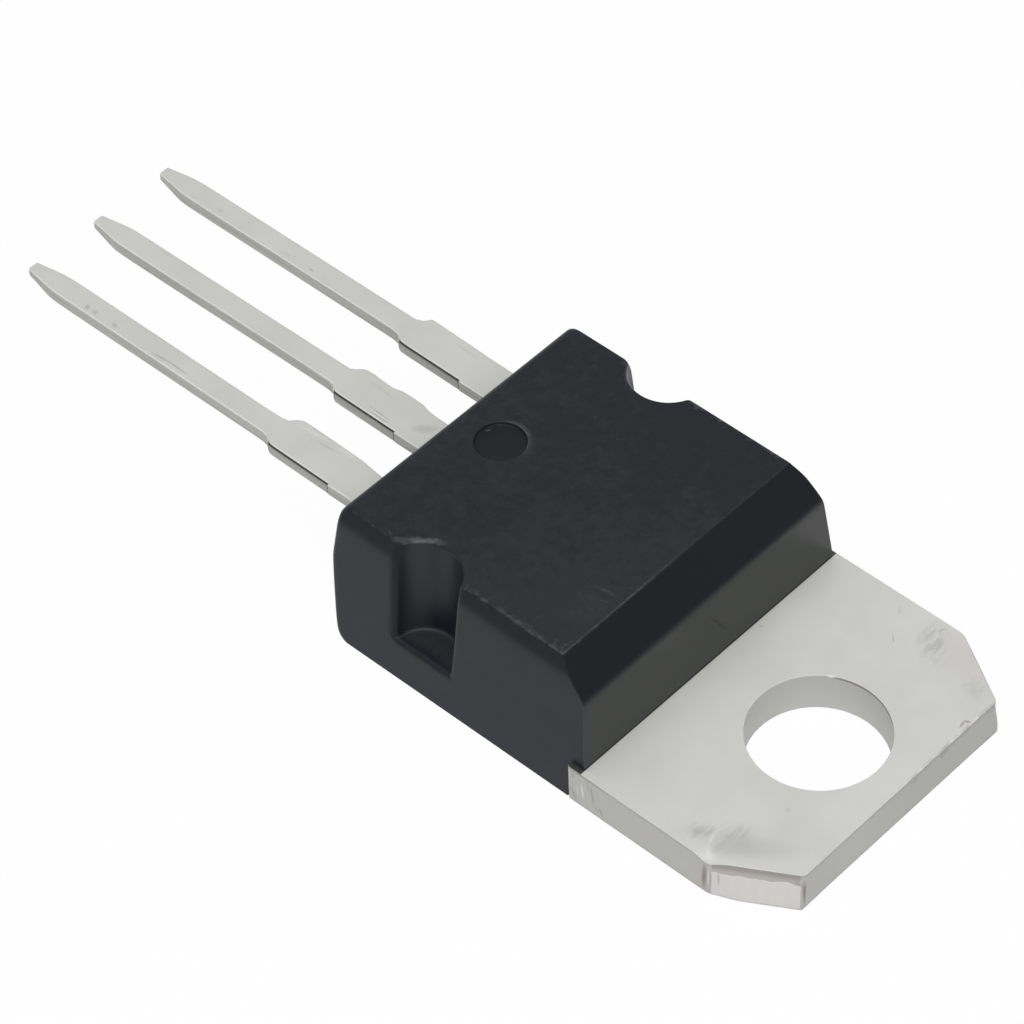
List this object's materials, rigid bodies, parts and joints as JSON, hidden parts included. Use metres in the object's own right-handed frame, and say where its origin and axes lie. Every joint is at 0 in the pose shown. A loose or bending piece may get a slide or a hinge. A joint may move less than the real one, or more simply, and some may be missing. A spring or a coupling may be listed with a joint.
{
  "type": "voltage regulator",
  "caption": "Through-hole power regulator: a black moulded block with a bevelled front and straight flat leads, on a metal tab with a screw hole that carries its heat away.",
  "frame": {"origin": "centre of the mounting hole, on the tab's back plane", "axes": "+Z out of the marking face along the hole's axis, +Y from the leads towards the tab's free end, +X across; the input lead is on the -X side"},
  "size_m": [0.0102, 0.0291, 0.0045],
  "materials": {
    "moulding_compound": "black epoxy, fine matte on top, smoother on the sides and polished on the bevel",
    "tinned_tab": "matte tin plate over copper",
    "tinned_lead": "matte tin plate over copper",
    "silicon": "dark polished silicon",
    "solder": "soft satin solder",
    "bond_wire": "drawn aluminium wire"
  },
  "bodies": {
    "root": {"moulded_body": "moulding_compound", "tab_with_ground_lead": "tinned_tab", "input_lead": "tinned_lead", "output_lead": "tinned_lead", "regulator_die": "silicon", "die_solder": "solder", "input_bond_wire": "bond_wire", "output_bond_wire": "bond_wire", "sense_bond_wire": "bond_wire", "ground_bond_wire": "bond_wire"}
  },
  "joints": []
}
